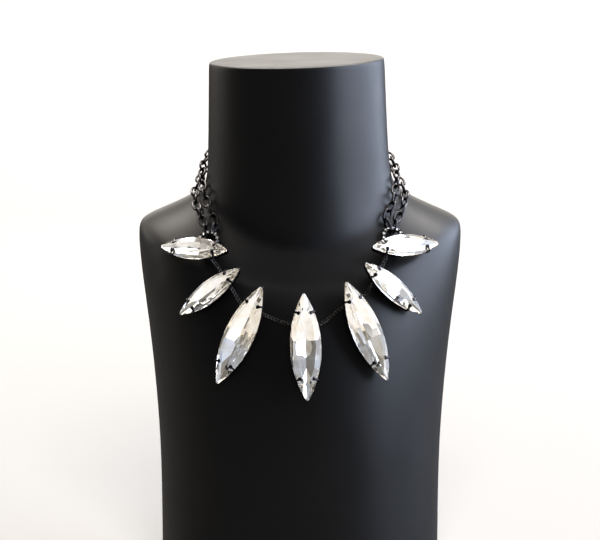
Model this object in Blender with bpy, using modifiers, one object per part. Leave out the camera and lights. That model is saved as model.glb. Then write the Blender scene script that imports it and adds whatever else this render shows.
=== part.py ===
"""Bib necklace of seven navette stones, worn on a plain neck bust.

Metres, +Z up, the bust facing -Y, the origin under the middle of the model.
The bust is a coarse cage of cross-sections with a Subdivision Surface. The
necklace is laid on it: stones, rings and chains are seated on its surface.
"""
import math

import bmesh
import bpy
from mathutils import Matrix, Vector
from mathutils.bvhtree import BVHTree

COLLECTION_NAME = "bib_necklace_on_bust"

# Neck bust
SHOULDER_HEIGHT = 0.196
NECK_FOOT_HEIGHT = 0.219
COLLAR_FRONT_HEIGHT = 0.191
BUST_HEIGHT = 0.288
SHOULDER_WIDTH = 0.1868
BASE_WIDTH = 0.16
NECK_WIDTH = 0.1015
NECK_DEPTH = 0.1015
CHEST_REACH = 0.08
BACK_REACH = 0.053
SHOULDER_SETBACK = 0.015
TOP_EDGE_ROUND = 0.0025
TOP_SLANT_DEG = 1.8
BUST_COLUMNS = 16
BUST_SMOOTHING = 1

# Navette stones and their closed settings
LARGE_LENGTH = 0.0587
LARGE_WIDTH = 0.0168
MEDIUM_LENGTH = 0.0433
MEDIUM_WIDTH = 0.0125
CROWN_HEIGHT = 0.0021
TABLE_INSET = 0.0036
PAVILION_DEPTH = 0.0034
CULET_WIDTH = 0.0012
CUP_WALL = 0.0007
CUP_FLOOR = 0.0007
CUP_RIM_DROP = 0.0007
CUP_DEPTH = 0.0058
CUP_TAPER = 0.0016
PRONG_WIDTH = 0.0018
PRONG_THICKNESS = 0.0008
PRONG_REACH = 0.0024
PRONG_FOOT = 0.0002
PRONG_NARROWING = 0.35

# Places along a stone where its facets meet, and the middles of its prongs, as
# shares of half its length, and the spans between them that carry the prongs
FACET_STATIONS = (-0.88, -0.22, 0.2, 0.87)
PRONG_STATIONS = (-0.64, 0.6)
PRONG_SPANS = (1, 5)

# Rings of small stones
RING_WIDTH = 0.014
RING_BAND = 0.0025
RING_THICKNESS = 0.0016
RING_STONES = 14
RING_SEGMENTS = 16
SMALL_STONE_WIDTH = 0.0019
SMALL_STONE_TABLE = 0.001
SMALL_STONE_RISE = 0.0004
SMALL_STONE_SIDES = 8

# Neck chains, fine chain and clasp
LINK_LENGTH = 0.0092
LINK_WIDTH = 0.0054
LINK_WIRE = 0.00115
LINK_BITE = 0.0002
LINK_SQUARENESS = 2.5
LINK_STEPS = 10
LINK_SIDES = 5
LINK_TWIST_DEG = 42
LOOP_PLAY = 0.00045
RING_PLAY = 0.0005
FINE_CHAIN_WIDTH = 0.002
FINE_CHAIN_STEP = 2.6
CLASP_LENGTH = 0.01
CLASP_WIDTH = 0.0044
CLASP_SIDES = 8
CLASP_LOOP_WIDTH = 0.0078
CLASP_LOOP_WIRE = 0.0013
CLASP_LOOP_BEND_DEG = 9
CLASP_LOOP_STEPS = 12
CLASP_HEIGHT = 0.234

# Clear space between one piece and the next
GAP = 0.0003

# How places are found: how far apart those are whose normals are averaged, how
# finely routes are drawn and measured, and how far off the rays start
NORMAL_SPREAD = 0.005
HALVINGS = 30
STEPS_BETWEEN_POINTS = 24
MERGE_DISTANCE = 0.00001
AFAR = 1.0

# Cross-sections of the bust. Heights at the side, front and back of each are
# shares of the named height, and half_width, front and back of the named reach.
BODY_COLUMNS = ("side", "front_height", "back_height", "half_width", "front", "back", "squareness")
BODY_SECTIONS = (
    (0.00, 0.00, 0.00, 0.00, 0.97, 0.95, 2.5),
    (0.28, 0.26, 0.28, 0.00, 0.99, 0.97, 2.45),
    (0.48, 0.43, 0.48, 0.16, 1.00, 0.99, 2.35),
    (0.70, 0.61, 0.70, 0.50, 0.98, 1.00, 2.2),
    (0.86, 0.74, 0.87, 0.86, 0.92, 1.00, 2.1),
    (0.98, 0.82, 0.99, 1.01, 0.84, 1.00, 2.0),
)

# From the edge of the shoulders to the foot of the neck, as shares of the way.
SHOULDER_COLUMNS = ("rise", "front_rise", "back_rise", "inward", "front_inward", "squareness")
SHOULDER_SECTIONS = (
    (0.06, 0.14, 0.20, 0.05, 0.22, 2.0),
    (0.30, 0.42, 0.40, 0.36, 0.48, 2.0),
    (0.58, 0.68, 0.60, 0.68, 0.75, 2.0),
    (0.84, 0.88, 0.82, 0.91, 0.93, 2.0),
)

# The neck, as shares of its length and of its own width and depth.
NECK_COLUMNS = ("height", "front_height", "width", "lean")
NECK_SECTIONS = (
    (0.06, 0.20, 1.025, -0.007),
    (0.40, 0.45, 1.005, -0.012),
    (0.94, 0.93, 0.985, -0.018),
)

# Stones from the wearer's side to the other. across and drop are shares of half
# the neck's width, from the middle line and down from the front of the collar;
# lean is from straight down, and support the place along the stone, as a share
# of half its length, where it lies on the fine chain or on the ring.
STONE_COLUMNS = ("name", "size", "across", "drop", "lean_deg", "rests_on", "support")
STONE_LAYOUT = (
    ("left_1", "medium", -1.045, 0.20, -92, "ring", -0.4),
    ("left_2", "medium", -0.89, 0.585, -51, "chain", -0.42),
    ("left_3", "large", -0.585, 1.00, -24.5, "chain", -0.54),
    ("centre", "large", 0.052, 1.105, 2, "chain", -0.38),
    ("right_3", "large", 0.646, 0.965, 22, "chain", -0.54),
    ("right_2", "medium", 0.92, 0.555, 47, "chain", -0.42),
    ("right_1", "medium", 1.045, 0.175, 92, "ring", -0.4),
)
STONE_FOOT = 0.8

# The rings of small stones, and the turns from straight uphill, outwards, at
# which the neck chains and the fine chain leave them.
RING_COLUMNS = ("name", "across", "drop", "outer_deg", "inner_deg", "fine_chain_deg")
RING_LAYOUT = (
    ("left", -0.966, 0.08, 24, -8, -165),
    ("right", 0.978, 0.037, 24, -8, -165),
)

# The fine chain's route over the chest from ring to ring, in the same shares.
FINE_CHAIN_ROUTE = (
    (-0.90, 0.27), (-0.82, 0.38), (-0.70, 0.54), (-0.625, 0.655), (-0.50, 0.72), (-0.375, 0.77),
    (-0.24, 0.825), (-0.09, 0.87), (0.06, 0.885), (0.21, 0.86), (0.325, 0.79), (0.42, 0.715),
    (0.545, 0.66), (0.66, 0.605), (0.755, 0.485), (0.82, 0.395), (0.86, 0.325), (0.92, 0.20),
)

# The neck chains' routes from ring to clasp: degrees round the neck from the
# middle of its back, and height above its foot as a share of its width.
OUTER_CHAIN_ROUTE = (
    (119, -0.20), (110, -0.145), (99, -0.085), (88, -0.02), (76, 0.03), (60, 0.06), (44, 0.07), (32, 0.07),
)
INNER_CHAIN_ROUTE = (
    (118, -0.135), (109, -0.07), (99, -0.01), (88, 0.05), (76, 0.105), (60, 0.16), (44, 0.20), (32, 0.22),
)
CLASP_LINK_DEG = 28


def columns(names, rows):
    """The rows of a table as dictionaries, by the names of its columns."""
    return [dict(zip(names, row)) for row in rows]


def mix(low, high, share):
    return low + (high - low) * share


def new_material(name, colour, metallic, roughness):
    material = bpy.data.materials.new(name)
    material.use_nodes = True
    shader = material.node_tree.nodes["Principled BSDF"]
    shader.inputs["Base Color"].default_value = (*colour, 1.0)
    shader.inputs["Metallic"].default_value = metallic
    shader.inputs["Roughness"].default_value = roughness
    return material


FINISHES = {
    "black_plastic": ((0.012, 0.012, 0.014), 0.0, 0.55),
    "crystal": ((0.86, 0.85, 0.82), 0.0, 0.05),
    "gunmetal": ((0.035, 0.034, 0.036), 1.0, 0.3),
}


def add_object(name, mesh, finish, collection):
    """An object with a material of its own in the named finish."""
    thing = bpy.data.objects.new(name, mesh)
    mesh.materials.clear()
    mesh.materials.append(new_material(name + "_" + finish, *FINISHES[finish]))
    collection.objects.link(thing)
    return thing


def mesh_from(bm, name):
    bmesh.ops.recalc_face_normals(bm, faces=bm.faces)
    mesh = bpy.data.meshes.new(name)
    bm.to_mesh(mesh)
    bm.free()
    return mesh


def loft(bm, rings):
    """Joins rings of as many points each by quads, and caps both ends."""
    loops = [[bm.verts.new(point) for point in ring] for ring in rings]
    count = len(loops[0])
    for low, high in zip(loops, loops[1:]):
        for i in range(count):
            j = (i + 1) % count
            bm.faces.new((low[i], low[j], high[j], high[i]))
    bm.faces.new(loops[0][::-1])
    bm.faces.new(loops[-1])
    return loops


# Neck bust

def section_ring(heights, half_width, reaches, squareness, lean=0, setback=0):
    """One cross-section: points round it, at heights that run from front to back."""
    side, front, back = heights
    front_reach, back_reach = reaches
    points = []
    for i in range(BUST_COLUMNS):
        turn = 2 * math.pi * i / BUST_COLUMNS
        c, s = math.cos(turn), math.sin(turn)
        reach = back_reach - setback if s > 0 else front_reach + setback
        x = lean + math.copysign(abs(c) ** (2 / squareness), c) * half_width
        y = setback + math.copysign(abs(s) ** (2 / squareness), s) * reach
        points.append(Vector((x, y, mix(side, back if s > 0 else front, s * s))))
    return points


def bust_rings():
    rings = []
    for row in columns(BODY_COLUMNS, BODY_SECTIONS):
        half = mix(BASE_WIDTH, SHOULDER_WIDTH, row["half_width"]) / 2
        heights = [SHOULDER_HEIGHT * row[k] for k in ("side", "front_height", "back_height")]
        reaches = (CHEST_REACH * row["front"], BACK_REACH * row["back"])
        rings.append(section_ring(heights, half, reaches, row["squareness"], 0, SHOULDER_SETBACK))
    edge = columns(BODY_COLUMNS, BODY_SECTIONS)[-1]
    for row in columns(SHOULDER_COLUMNS, SHOULDER_SECTIONS):
        heights = (
            mix(SHOULDER_HEIGHT, NECK_FOOT_HEIGHT, row["rise"]),
            mix(SHOULDER_HEIGHT * edge["front_height"], COLLAR_FRONT_HEIGHT, row["front_rise"]),
            mix(SHOULDER_HEIGHT, NECK_FOOT_HEIGHT, row["back_rise"]),
        )
        half = mix(SHOULDER_WIDTH, NECK_WIDTH, row["inward"]) / 2
        front = mix(CHEST_REACH * edge["front"], NECK_DEPTH / 2, row["front_inward"])
        back = mix(BACK_REACH, NECK_DEPTH / 2, row["inward"])
        setback = SHOULDER_SETBACK * (1 - row["inward"])
        rings.append(section_ring(heights, half, (front, back), row["squareness"], 0, setback))
    for row in columns(NECK_COLUMNS, NECK_SECTIONS):
        rings.append(neck_ring(row["height"], row["front_height"], row["width"], row["lean"]))
    top = columns(NECK_COLUMNS, NECK_SECTIONS)[-1]
    for width in (top["width"], top["width"] - 2 * TOP_EDGE_ROUND / NECK_WIDTH):
        ring = neck_ring(1, 1, width, top["lean"])
        for point in ring:
            point.z += point.x * math.tan(math.radians(TOP_SLANT_DEG))
        rings.append(ring)
    return rings


def neck_ring(height, front_height, width, lean):
    side = mix(NECK_FOOT_HEIGHT, BUST_HEIGHT, height)
    front = mix(COLLAR_FRONT_HEIGHT, BUST_HEIGHT, front_height)
    reach = NECK_DEPTH / 2 * width
    return section_ring((side, front, side), NECK_WIDTH / 2 * width, (reach, reach), 2, NECK_WIDTH * lean)


def make_bust(collection):
    bm = bmesh.new()
    loops = loft(bm, bust_rings())
    crease = bm.edges.layers.float.new("crease_edge")
    foot = set(loops[0])
    for edge in bm.edges:
        if set(edge.verts) <= foot:
            edge[crease] = 1.0
    bust = add_object("neck_bust", mesh_from(bm, "neck_bust"), "black_plastic", collection)
    bust.data.shade_smooth()
    smoothing = bust.modifiers.new("smoothing", "SUBSURF")
    smoothing.levels = BUST_SMOOTHING
    smoothing.render_levels = BUST_SMOOTHING
    return bust


class Surface:
    """The bust's skin, which the necklace is laid on."""

    def __init__(self, bust):
        graph = bpy.context.evaluated_depsgraph_get()
        self.tree = BVHTree.FromObject(bust, graph)

    def met(self, starts, way):
        """The point that the first ray meets, and the mean normal where all of them do."""
        hits = [self.tree.ray_cast(start, way) for start in starts]
        normals = [hit[1] for hit in hits if hit[0] is not None]
        return hits[0][0], sum(normals, Vector()).normalized()

    def front(self, x, z):
        """The point and normal met from straight in front."""
        spread = ((0, 0), (1, 0), (-1, 0), (0, 1), (0, -1))
        starts = [Vector((x + a * NORMAL_SPREAD, -AFAR, z + b * NORMAL_SPREAD)) for a, b in spread]
        return self.met(starts, Vector((0, 1, 0)))

    def round_neck(self, turn_deg, z):
        """The point and normal met from outside, towards the neck's own axis."""
        turn = math.radians(turn_deg)
        out = Vector((math.sin(turn), math.cos(turn), 0))
        side = Vector((out.y, -out.x, 0)) * NORMAL_SPREAD
        up = Vector((0, 0, NORMAL_SPREAD))
        start = out * AFAR + Vector((0, 0, z))
        return self.met([start, start + side, start - side, start + up, start - up], -out)

    def lift_needed(self, points, normal, clear):
        """How far points must move along the normal to stand clear of the skin."""
        lift = -AFAR
        for point in points:
            hit, _, _, _ = self.tree.ray_cast(point + normal * AFAR, -normal)
            if hit is not None:
                lift = max(lift, (hit - point).dot(normal) + clear)
        return lift


# Navettes: the outline of two arcs that meet in a point at each end

def navette(length, width, grow, stations):
    """Points round a navette that is grown by a margin, from one tip to the other and back."""
    radius = (length ** 2 + width ** 2) / (4 * width)
    offset = radius - width / 2
    tip = math.sqrt((radius + grow) ** 2 - offset ** 2)
    side = [(s * tip, math.sqrt((radius + grow) ** 2 - (s * tip) ** 2) - offset) for s in stations]
    return [(-tip, 0)] + [(x, -y) for x, y in side] + [(tip, 0)] + [(x, y) for x, y in side[::-1]]


def stations_for(length):
    """Places along a navette, with a prong's width between two of them at each prong."""
    half = PRONG_WIDTH / length
    first, second = PRONG_STATIONS
    head, upper, lower, tail = FACET_STATIONS
    return (head, first - half, first + half, upper, lower, second - half, second + half, tail)


def size_of(kind):
    return (LARGE_LENGTH, LARGE_WIDTH) if kind == "large" else (MEDIUM_LENGTH, MEDIUM_WIDTH)


def make_stone(name, kind, frame, collection):
    """A cut stone: keel, girdle at height 0 and table, with a facet between each two stations."""
    length, width = size_of(kind)
    stations = stations_for(length)
    keel = CULET_WIDTH / 2 - width / 2
    levels = ((keel, -PAVILION_DEPTH), (0, 0), (-TABLE_INSET, CROWN_HEIGHT))
    bm = bmesh.new()
    loft(bm, [[(x, y, z) for x, y in navette(length, width, grow, stations)] for grow, z in levels])
    stone = add_object("stone_" + name, mesh_from(bm, "stone_" + name), "crystal", collection)
    stone.matrix_world = frame
    return stone


def extruded(bm, face):
    return bmesh.ops.extrude_discrete_faces(bm, faces=[face])["faces"][0]


def draw_prong(bm, wall):
    """Draws a rib out of the cup's wall, and its top up past the girdle and in over the crown."""
    middle = wall.calc_center_median()
    side = math.copysign(1, middle.y)
    rib = extruded(bm, wall)
    upper = [vert for vert in rib.verts if vert.co.z > middle.z]
    for vert in rib.verts:
        vert.co.y += side * (GAP + PRONG_THICKNESS if vert in upper else PRONG_FOOT)
    top = next(f for f in upper[0].link_faces if f is not rib and upper[1] in f.verts)
    outer_edge = abs(upper[0].co.y) - PRONG_THICKNESS / 2
    slope = CROWN_HEIGHT / TABLE_INSET
    steps = ((GAP, CUP_RIM_DROP - GAP, 0), (0, 2 * GAP, PRONG_THICKNESS))
    for outward, rise, outer_rise in steps:
        top = extruded(bm, top)
        for vert in top.verts:
            if abs(vert.co.y) > outer_edge:
                vert.co.z += rise + outer_rise
            else:
                vert.co.y += side * outward
                vert.co.z += rise
    top = extruded(bm, top)
    for vert in top.verts:
        vert.co.x = mix(vert.co.x, middle.x, PRONG_NARROWING)
        vert.co.y -= side * PRONG_REACH
        vert.co.z += PRONG_REACH * slope


def make_setting(name, kind, frame, collection):
    """A closed cup with four prongs, its rim just below the stone's girdle."""
    length, width = size_of(kind)
    stations = stations_for(length)
    levels = (
        (-CUP_WALL - CUP_TAPER, CUP_FLOOR - CUP_DEPTH),
        (-CUP_WALL, -CUP_RIM_DROP),
        (0, -CUP_RIM_DROP),
        (-CUP_TAPER, -CUP_DEPTH),
    )
    bm = bmesh.new()
    outlines = [[(x, y, z) for x, y in navette(length, width, grow, stations)] for grow, z in levels]
    loops = loft(bm, outlines)
    rim, foot = loops[2], loops[3]
    count = len(rim)
    walls = []
    for span in PRONG_SPANS:
        for i in (1 + span, count - 2 - span):
            corners = {rim[i], rim[i + 1], foot[i], foot[i + 1]}
            walls += [face for face in rim[i].link_faces if set(face.verts) == corners]
    for wall in walls:
        draw_prong(bm, wall)
    setting = add_object("setting_" + name, mesh_from(bm, "setting_" + name), "gunmetal", collection)
    setting.matrix_world = frame
    return setting


def axes_to_matrix(origin, along, normal):
    """A frame with X along, Z on the normal and Y across."""
    normal = normal.normalized()
    along = (along - normal * along.dot(normal)).normalized()
    across = normal.cross(along)
    matrix = Matrix((along, across, normal)).transposed().to_4x4()
    matrix.translation = origin
    return matrix


def under_collar(across, drop):
    """A place on the front view, by shares of half the neck's width."""
    half = NECK_WIDTH / 2
    return across * half, COLLAR_FRONT_HEIGHT - drop * half


# Seats on the bust

def view_direction(lean_deg):
    """A direction on the front view, from straight down."""
    lean = math.radians(lean_deg)
    return Vector((math.sin(lean), 0, -math.cos(lean)))


def place_ring(row, surface):
    """The frame of a ring laid on the shoulder, high enough for the links round its band."""
    x, z = under_collar(row["across"], row["drop"])
    point, normal = surface.front(x, z)
    frame = axes_to_matrix(point, Vector((0, 0, 1)), normal)
    rim = [frame @ Vector((math.cos(a) * RING_WIDTH / 2, math.sin(a) * RING_WIDTH / 2, 0))
           for a in (2 * math.pi * i / RING_SEGMENTS for i in range(RING_SEGMENTS))]
    lift = surface.lift_needed(rim, frame.col[2].xyz, LINK_WIDTH / 2 + GAP)
    frame.translation += frame.col[2].xyz * lift
    return frame


def place_stone(row, surface, below):
    """The frame of a stone's girdle, its cup on the chest and on what lies below it."""
    length, width = size_of(row["size"])
    x, z = under_collar(row["across"], row["drop"])
    way = view_direction(row["lean_deg"])
    on_ring = row["rests_on"] == "ring"
    thickness = LINK_WIDTH / 2 + RING_THICKNESS / 2 + SMALL_STONE_RISE if on_ring else FINE_CHAIN_WIDTH
    feet = []
    for share, height in ((row["support"], thickness + 2 * GAP), (STONE_FOOT, GAP)):
        foot = way * (length / 2 * share)
        point, normal = surface.front(x + foot.x, z + foot.z)
        feet.append((point + normal * height, normal))
    (head, head_normal), (tail, tail_normal) = feet
    middle = head.lerp(tail, -row["support"] / (STONE_FOOT - row["support"]))
    frame = axes_to_matrix(middle, tail - head, head_normal + tail_normal)
    normal = frame.col[2].xyz
    outline = navette(length, width, -CUP_TAPER, stations_for(length))
    under = [frame @ Vector((px * k, py * k, 0)) for px, py in outline for k in (0, 0.5, 1)]
    lift = surface.lift_needed(under, normal, GAP)
    back = frame.inverted()
    for point, radius in below:
        place = back @ point
        if abs(place.x) < length / 2 and abs(place.y) < width / 2:
            lift = max(lift, place.z + radius + GAP)
    frame.translation += normal * (lift + CUP_DEPTH)
    return frame


def ring_face(frame):
    """Places round the middle of a ring's face, at the height of its small stones."""
    middle, height = (RING_WIDTH - RING_BAND) / 2, RING_THICKNESS / 2 + SMALL_STONE_RISE
    turns = [math.pi * i / RING_SEGMENTS for i in range(2 * RING_SEGMENTS)]
    return [frame @ Vector((math.cos(a) * middle, math.sin(a) * middle, height)) for a in turns]


# Rings of small stones

def make_ring(name, frame, collection, cutters):
    """A flat ring with a row of small cut stones fused to its face."""
    outer, inner = RING_WIDTH / 2, RING_WIDTH / 2 - RING_BAND
    bm = bmesh.new()
    corners = [(outer, RING_THICKNESS / 2), (outer, -RING_THICKNESS / 2),
               (inner, -RING_THICKNESS / 2), (inner, RING_THICKNESS / 2)]
    verts = [bm.verts.new((x, 0, z)) for x, z in corners]
    for i in range(len(verts)):
        bm.edges.new((verts[i], verts[(i + 1) % len(verts)]))
    profile = bpy.data.meshes.new(name)
    bm.to_mesh(profile)
    bm.free()
    ring = add_object(name, profile, "gunmetal", collection)
    turning = ring.modifiers.new("turning", "SCREW")
    turning.steps = RING_SEGMENTS
    turning.render_steps = RING_SEGMENTS
    turning.use_merge_vertices = True
    turning.merge_threshold = MERGE_DISTANCE
    turning.use_normal_calculate = True

    bm = bmesh.new()
    depth = SMALL_STONE_RISE + RING_THICKNESS / 3
    middle = (outer + inner) / 2
    for i in range(RING_STONES):
        turn = 2 * math.pi * (i + 0.5) / RING_STONES
        centre = Vector((math.cos(turn) * middle, math.sin(turn) * middle,
                         RING_THICKNESS / 2 + SMALL_STONE_RISE - depth / 2))
        bmesh.ops.create_cone(bm, cap_ends=True, segments=SMALL_STONE_SIDES, radius1=SMALL_STONE_WIDTH / 2,
                              radius2=SMALL_STONE_TABLE / 2, depth=depth,
                              matrix=Matrix.Translation(centre) @ Matrix.Rotation(turn, 4, "Z"))
    stones = add_object(name + "_stones", mesh_from(bm, name + "_stones"), "crystal", cutters)
    join(ring, stones)
    ring.matrix_world = frame
    stones.matrix_world = frame
    return ring


def join(thing, other):
    """Fuses another object to this one, by a Boolean that stays on it."""
    fusing = thing.modifiers.new("fusing", "BOOLEAN")
    fusing.operation = "UNION"
    fusing.solver = "EXACT"
    fusing.object = other
    other.hide_render = True
    other.display_type = "WIRE"


# Neck chains

def link_ring(bm, frame, length):
    """One oval link: a closed wire round an oval in the frame's XY plane, flat across both ends."""
    bulge = 2 / LINK_SQUARENESS
    half_width = (LINK_WIDTH - LINK_WIRE) / 2
    half_length = (length - LINK_WIRE) / 2 / math.cos(math.pi / LINK_STEPS) ** bulge
    sections = []
    for i in range(LINK_STEPS):
        turn = 2 * math.pi * (i + 0.5) / LINK_STEPS
        c, s = math.cos(turn), math.sin(turn)
        x = math.copysign(abs(c) ** bulge, c) * half_length
        y = math.copysign(abs(s) ** bulge, s) * half_width
        steep = math.copysign(abs(c) ** (2 - bulge), c) / half_length
        shallow = math.copysign(abs(s) ** (2 - bulge), s) / half_width
        centre, out = Vector((x, y, 0)), Vector((steep, shallow, 0)).normalized()
        section = []
        for k in range(LINK_SIDES):
            roll = math.pi + 2 * math.pi * k / LINK_SIDES
            offset = out * math.cos(roll) + Vector((0, 0, math.sin(roll)))
            section.append(bm.verts.new(frame @ (centre + offset * LINK_WIRE / 2)))
        sections.append(section)
    for i in range(LINK_STEPS):
        low, high = sections[i], sections[(i + 1) % LINK_STEPS]
        for k in range(LINK_SIDES):
            j = (k + 1) % LINK_SIDES
            bm.faces.new((low[k], low[j], high[j], high[k]))


def smooth_route(points):
    """Points and normals along one smooth curve through the given ones."""
    padded = [(2 * points[0][0] - points[1][0], points[0][1])] + points
    padded.append((2 * points[-1][0] - points[-2][0], points[-1][1]))
    made = []
    for i in range(1, len(padded) - 2):
        a, b, c, d = (padded[i + k][0] for k in (-1, 0, 1, 2))
        for s in range(STEPS_BETWEEN_POINTS):
            t = s / STEPS_BETWEEN_POINTS
            place = ((2 * b) + (c - a) * t + (2 * a - 5 * b + 4 * c - d) * t ** 2
                     + (3 * b - a - 3 * c + d) * t ** 3) / 2
            made.append((place, padded[i][1].lerp(padded[i + 1][1], t)))
    made.append(points[-1])
    return made


def length_of(route):
    return sum((b - a).length for (a, _), (b, _) in zip(route, route[1:]))


def walk(route, stride, count):
    """Places a straight stride apart along a route, as many as fit up to a count."""
    places = [route[0]]
    for (a, _), (b, normal) in zip(route, route[1:]):
        while len(places) < count and (b - places[-1][0]).length >= stride:
            near, far = (a - places[-1][0]).length, (b - places[-1][0]).length
            share = (stride - near) / (far - near)
            places.append((a.lerp(b, share), normal))
    return places


def spaced(route, count):
    """As many places along a route, each the same straight stride from the next, and that stride."""
    low, high = 0.8 * length_of(route) / (count - 1), length_of(route) / (count - 1)
    for _ in range(HALVINGS):
        stride = (low + high) / 2
        if len(walk(route, stride, count)) < count:
            high = stride
        else:
            low = stride
    return walk(route, low, count), low


def chain_end(frame, hole_radius, turn_deg, surface):
    """Both ends of the link that hangs through a loop, the far one easing down towards the skin."""
    turn = math.radians(turn_deg)
    way = frame.col[0].xyz * math.cos(turn) + frame.col[1].xyz * math.sin(turn)
    normal = frame.col[2].xyz
    near = frame.translation + way * (hole_radius - LOOP_PLAY - LINK_BITE / 2)
    far = near + way * (LINK_LENGTH - 2 * LINK_WIRE + LINK_BITE)
    lift = surface.lift_needed([far], normal, LINK_WIDTH / 2 + GAP)
    return [(near, normal), (far + normal * lift / 2, normal)]


def make_strand(name, points, collection, cutters):
    """A chain of interlocked oval links from meeting place to meeting place, fused into one body."""
    pitch = LINK_LENGTH - 2 * LINK_WIRE + LINK_BITE
    route = smooth_route(points)
    count = round(length_of(route) / pitch)
    meetings, stride = spaced(route, count + 1)
    length = stride + 2 * LINK_WIRE - LINK_BITE
    quarter = 0 if count % 2 else math.pi / 2
    groups = [bmesh.new(), bmesh.new()]
    for i, ((start, normal), (end, _)) in enumerate(zip(meetings, meetings[1:])):
        share = i / (count - 1)
        roll = math.pi / 2 * (i + 1) + quarter * share
        roll += math.radians(LINK_TWIST_DEG) * math.sin(math.pi * share)
        along = end - start
        frame = axes_to_matrix(start.lerp(end, 0.5), along, normal - normal.project(along))
        link_ring(groups[i % 2], frame @ Matrix.Rotation(roll, 4, "X"), length)
    chain = add_object(name, mesh_from(groups[0], name), "gunmetal", collection)
    others = add_object(name + "_links", mesh_from(groups[1], name + "_links"), "gunmetal", cutters)
    join(chain, others)
    return chain


def strand_route(route, side, surface):
    """Places that stand off the neck by half a link's width."""
    made = []
    for turn, rise in route:
        point, normal = surface.round_neck(side * turn, NECK_FOOT_HEIGHT + rise * NECK_WIDTH)
        made.append((point + normal * (LINK_WIDTH / 2 + GAP), normal))
    return made


# Clasp and fine chain

def place_clasp(surface):
    point, normal = surface.round_neck(0, CLASP_HEIGHT)
    return axes_to_matrix(point + normal * (LINK_WIDTH / 2 + GAP), Vector((1, 0, 0)), normal)


def clasp_loop(frame, side):
    """The frame of the clasp's loop on one side, its X axis away from the clasp and down the neck."""
    reach = CLASP_LENGTH / 2 + CLASP_LOOP_WIDTH / 2 - CLASP_LOOP_WIRE
    turned = frame @ Matrix.Rotation(0 if side > 0 else math.pi, 4, "Z")
    turned = turned @ Matrix.Rotation(math.radians(CLASP_LOOP_BEND_DEG), 4, "Y")
    turned.translation = frame @ Vector((side * reach, 0, 0))
    return turned


def make_clasp(frame, collection, cutters):
    """A plain barrel with a loop at each end, in one piece."""
    bpy.ops.mesh.primitive_cylinder_add(vertices=CLASP_SIDES, radius=CLASP_WIDTH / 2, depth=CLASP_LENGTH)
    barrel = take_mesh(Matrix.Rotation(math.pi / 2, 4, "Y"))
    clasp = add_object("clasp", barrel, "gunmetal", collection)
    edges = clasp.modifiers.new("edges", "BEVEL")
    edges.width = CLASP_WIDTH / 8
    edges.segments = 1
    bm = bmesh.new()
    for side in (-1, 1):
        bpy.ops.mesh.primitive_torus_add(
            major_segments=CLASP_LOOP_STEPS, minor_segments=LINK_SIDES,
            major_radius=(CLASP_LOOP_WIDTH - CLASP_LOOP_WIRE) / 2, minor_radius=CLASP_LOOP_WIRE / 2)
        loop = take_mesh(frame.inverted() @ clasp_loop(frame, side))
        bm.from_mesh(loop)
        bpy.data.meshes.remove(loop)
    loops = add_object("clasp_loops", mesh_from(bm, "clasp_loops"), "gunmetal", cutters)
    join(clasp, loops)
    clasp.matrix_world = frame
    loops.matrix_world = frame
    return clasp


def take_mesh(matrix):
    """The mesh of the primitive just added, placed by a matrix; its object is removed."""
    thing = bpy.context.object
    mesh = thing.data
    mesh.transform(matrix)
    bpy.data.objects.remove(thing)
    return mesh


def fine_chain_route(ends, surface):
    points = [ends[0]]
    for across, drop in FINE_CHAIN_ROUTE:
        point, normal = surface.front(*under_collar(across, drop))
        points.append((point + normal * (FINE_CHAIN_WIDTH / 2 + GAP), normal))
    points.append(ends[1])
    return smooth_route(points)


def make_fine_chain(route, collection):
    """The fine chain's outer form: a round tube laid over the chest from ring to ring."""
    places, _ = spaced(route, round(length_of(route) / (FINE_CHAIN_STEP * FINE_CHAIN_WIDTH)) + 1)
    curve = bpy.data.curves.new("fine_chain_route", "CURVE")
    curve.dimensions = "3D"
    curve.bevel_depth = FINE_CHAIN_WIDTH / 2
    curve.bevel_resolution = 1
    curve.use_fill_caps = True
    spline = curve.splines.new("POLY")
    spline.points.add(len(places) - 1)
    for point, (place, _) in zip(spline.points, places):
        point.co = (*place, 1)
    chain = bpy.data.objects.new("fine_chain", curve)
    curve.materials.append(new_material("fine_chain_gunmetal", *FINISHES["gunmetal"]))
    collection.objects.link(chain)
    return chain


def clear_scene():
    for thing in list(bpy.data.objects):
        bpy.data.objects.remove(thing)


def new_collection(name):
    collection = bpy.data.collections.new(name)
    bpy.context.scene.collection.children.link(collection)
    return collection


def stand_on_origin(parts, others):
    """Moves everything so that the middle of the model's foot is the origin."""
    bpy.context.view_layer.update()
    graph = bpy.context.evaluated_depsgraph_get()
    places = []
    for thing in parts:
        seen = thing.evaluated_get(graph)
        places += [seen.matrix_world @ vert.co for vert in seen.to_mesh().vertices]
        seen.to_mesh_clear()
    for axis in (0, 1):
        reach = [place[axis] for place in places]
        for thing in parts + others:
            thing.location[axis] -= (min(reach) + max(reach)) / 2


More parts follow.
